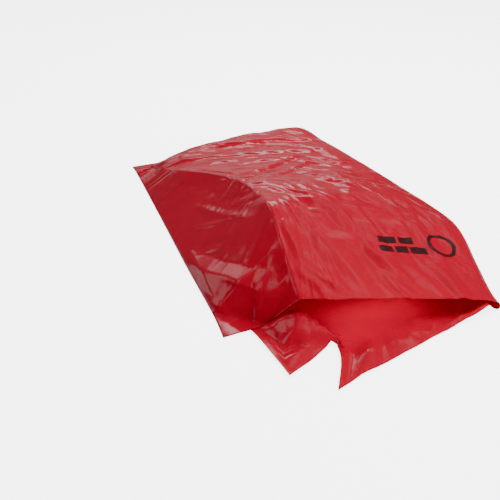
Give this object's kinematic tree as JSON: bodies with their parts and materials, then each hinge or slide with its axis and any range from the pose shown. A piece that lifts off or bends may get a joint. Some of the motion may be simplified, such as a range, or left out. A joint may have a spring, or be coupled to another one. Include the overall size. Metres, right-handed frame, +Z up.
{
  "type": "biohazard waste bag",
  "caption": "Large gusseted red polyethylene waste bag, open at the mouth and welded at the far end, lying on a level floor with some air in it.",
  "frame": {"origin": "bottom centre of the bag's box, on the floor the bag lies on", "axes": "+Y along the bag from its open mouth to its welded end, +X to its rolled right edge, +Z up"},
  "size_m": [0.6308, 1.153, 0.17],
  "materials": {
    "red_film": "glossy blown film with fine creases"
  },
  "bodies": {
    "root": {"bag_film": "red_film"}
  },
  "joints": []
}
